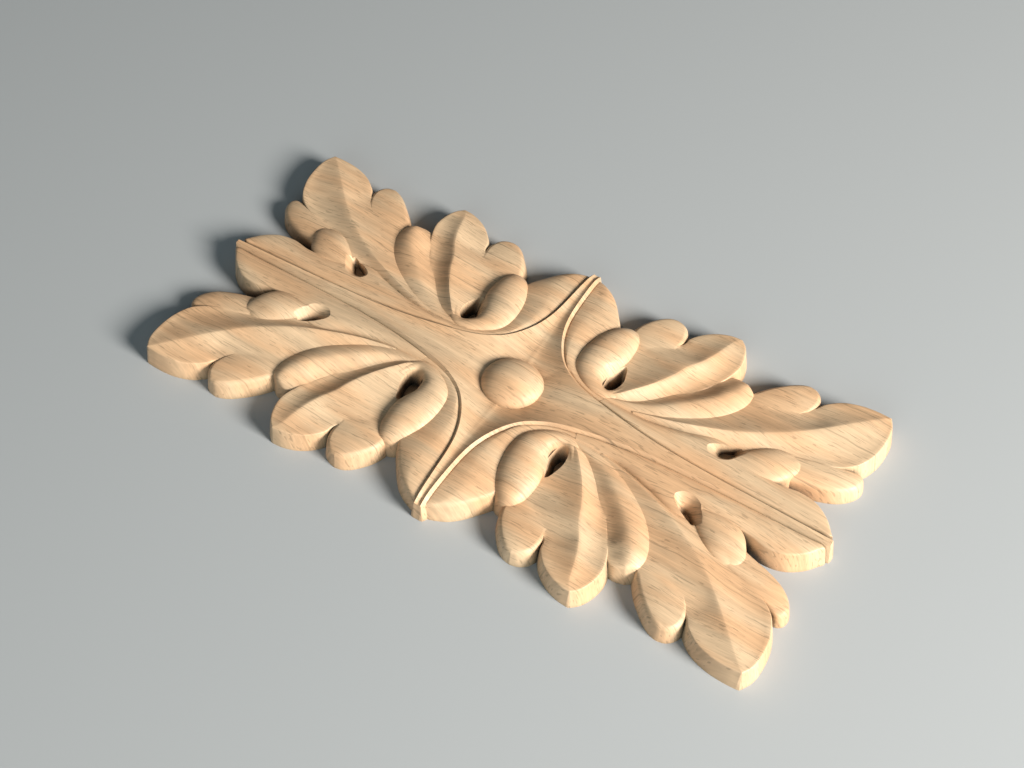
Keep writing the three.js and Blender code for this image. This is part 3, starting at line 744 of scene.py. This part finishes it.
def growth_lines(wood, grain, wiggle):
    """A few thin dark lines that run on and off, and go straight down through the board."""
    across = wood.add("SeparateXYZ", {0: grain}).outputs["Y"]
    count = wood.math("DIVIDE", wood.math("ADD", across, wiggle), LINE_SPACING * MM)
    line = wood.math("FLOOR", count)
    chance = wood.add("TexWhiteNoise", {"W": line}, noise_dimensions="1D").outputs[0]
    middle = wood.math("ADD", wood.math("MULTIPLY", chance, LINE_PLAY), (1 - LINE_PLAY) / 2)
    away = wood.math("ABSOLUTE", wood.math("SUBTRACT", wood.math("FRACT", count), middle))
    inner, outer = (edge * LINE_HALF_WIDTH / LINE_SPACING for edge in LINE_EDGES)
    lines = wood.ramp(away, inner, outer, 1.0, 0.0)
    runs = wood.ramp(wood.noise(grain, LINE_RUN, detail=1.0), *LINE_RUN_EDGES)
    return wood.math("MULTIPLY", lines, runs)


def wood_material():
    material = bpy.data.materials.new("bare_wood")
    wood = Nodes(material)
    shader = wood.tree.nodes["Principled BSDF"]
    place = wood.add("TexCoord", {}).outputs["Object"]

    # The grain runs along X and bends a little.
    bend = wood.sway(place, BEND, BEND_BY)
    wiggle = wood.sway(place, WIGGLE, WIGGLE_BY)
    aside = wood.add("CombineXYZ", {"X": 0.0, "Y": bend, "Z": 0.0}).outputs[0]
    grain = wood.add("VectorMath", {0: place, 1: aside}, operation="ADD").outputs[0]

    patches = wood.ramp(wood.noise(grain, PATCH, detail=2.0), *PATCH_EDGES)
    colour = wood.mix(patches, WOOD_YELLOW, WOOD_ORANGE)
    bands = wood.ramp(wood.noise(grain, BAND, detail=2.0), *STREAK_EDGES, *BAND_SHADES)
    streaks = wood.noise(grain, FIBRE, detail=3.0, roughness=0.6)
    fibres = wood.ramp(streaks, *STREAK_EDGES, *FIBRE_SHADES)
    hairs = wood.ramp(wood.noise(grain, HAIR, detail=1.0), *STREAK_EDGES, *HAIR_SHADES)

    # Pores are short dark dashes, closer in some bands than in others.
    crowd = wood.ramp(wood.noise(grain, CROWD, detail=1.0), *CROWD_EDGES, *CROWD_BY)
    pores = wood.ramp(wood.math("ADD", wood.noise(grain, PORE), crowd), *PORE_EDGES)
    lines = growth_lines(wood, grain, wiggle)

    shade = wood.math("MULTIPLY", wood.math("MULTIPLY", bands, fibres), hairs)
    shade = wood.darken(shade, pores, PORE_SHADE)
    shade = wood.darken(shade, lines, LINE_SHADE)
    colour = wood.add("VectorMath", {0: colour, "Scale": shade}, operation="SCALE").outputs[0]

    # Painted shade: crevices are painted greyer, and the deep cuts are painted nearly black inside, as
    # their shadow.
    crevice_shade = wood.mix(wood.ramp(wood.open_air(CREVICE), *CREVICE_EDGES), CREVICE_SHADE_TINT, WHITE)
    colour = wood.add("VectorMath", {0: colour, 1: crevice_shade}, operation="MULTIPLY").outputs[0]
    # Painted shadow: the deep cuts are painted nearly black, as if no light reached their floor
    colour = wood.mix(wood.ramp(wood.open_air(HOLE), *HOLE_EDGES), PIT_SHADOW_BLACK, colour)
    wood.tree.links.new(colour, shader.inputs["Base Color"])

    roughness = wood.ramp(fibres, *FIBRE_SHADES, *ROUGHNESS)
    wood.tree.links.new(roughness, shader.inputs["Roughness"])
    raised = wood.math("ADD", fibres, hairs)
    height = wood.math("SUBTRACT", raised, wood.math("MULTIPLY", pores, PORE_RELIEF))
    height = wood.math("SUBTRACT", height, wood.math("MULTIPLY", lines, LINE_RELIEF))
    relief = {"Strength": RELIEF_STRENGTH, "Distance": RELIEF * MM, "Height": height}
    wood.tree.links.new(wood.add("Bump", relief).outputs[0], shader.inputs["Normal"])
    return material


# The view of the photo: how the camera is turned, in radians, how far it is from the middle
# of the rosette's back and how far aside, in millimetres

IMAGE_WIDTH = 1024
FOCAL_PIXELS = 1464.6
SENSOR_MM = 36
VIEW_TILT = -0.637377
VIEW_TURN = -0.567470
VIEW_ROLL = 0.002898
VIEW_DISTANCE = 424.93
VIEW_ASIDE = (0.0936, -3.5976)


def add_camera():
    data = bpy.data.cameras.new("camera")
    data.sensor_width = SENSOR_MM
    data.lens = SENSOR_MM * FOCAL_PIXELS / IMAGE_WIDTH
    data.clip_start = 0.01
    turn = (
        Matrix.Rotation(VIEW_ROLL, 3, "Z")
        @ Matrix.Rotation(VIEW_TILT, 3, "X")
        @ Matrix.Rotation(VIEW_TURN, 3, "Z")
    )
    back = turn.transposed()
    place = back @ Vector((-VIEW_ASIDE[0], -VIEW_ASIDE[1], VIEW_DISTANCE)) * MM
    camera = bpy.data.objects.new("camera", data)
    camera.matrix_world = Matrix.Translation(place) @ back.to_4x4()
    bpy.context.scene.collection.objects.link(camera)
    bpy.context.scene.camera = camera


# Lights and stage

FLOOR_SIZE = 6
FLOOR_COLOUR = (0.42, 0.43, 0.43, 1)
FLOOR_ROUGHNESS = 0.9
ROOM_COLOUR = (0.72, 0.9, 1, 1)
ROOM_STRENGTH = 0.1


def sky(azimuth, elevation, distance):
    """A place around the rosette, from two angles in degrees and a distance in metres."""
    a, e = math.radians(azimuth), math.radians(elevation)
    level = distance * math.cos(e)
    return level * math.cos(a), level * math.sin(a), distance * math.sin(e)


def add_light(name, place, power, size, colour):
    """A round lamp that shines on the rosette."""
    data = bpy.data.lights.new(name, "AREA")
    data.color = colour
    data.energy = power
    data.shape = "DISK"
    data.size = size
    light = bpy.data.objects.new(name, data)
    light.location = place
    light.rotation_euler = (-Vector(place)).to_track_quat("-Z", "Y").to_euler()
    bpy.context.scene.collection.objects.link(light)


def add_stage():
    bpy.ops.mesh.primitive_plane_add(size=FLOOR_SIZE, location=(0, 0, 0))
    floor = bpy.context.object
    floor.name = "floor"
    material = bpy.data.materials.new("floor")
    material.use_nodes = True
    shader = material.node_tree.nodes["Principled BSDF"]
    shader.inputs["Base Color"].default_value = FLOOR_COLOUR
    shader.inputs["Roughness"].default_value = FLOOR_ROUGHNESS
    floor.data.materials.append(material)
    world = bpy.data.worlds.new("world")
    world.use_nodes = True
    background = world.node_tree.nodes["Background"]
    background.inputs["Color"].default_value = ROOM_COLOUR
    background.inputs["Strength"].default_value = ROOM_STRENGTH
    bpy.context.scene.world = world


add_camera()
add_stage()
add_light("key", sky(-6, 28, 1.3), power=35, size=0.5, colour=(1, 0.98, 0.94))
add_light("fill", sky(-75, 25, 1.6), power=7.5, size=1.2, colour=(0.8, 0.95, 1))
bpy.context.scene.view_settings.view_transform = "Standard"

rosette = carve()
rosette.data.materials.clear()
rosette.data.materials.append(wood_material())
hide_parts("carved_rosette")
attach(rosette, "root")
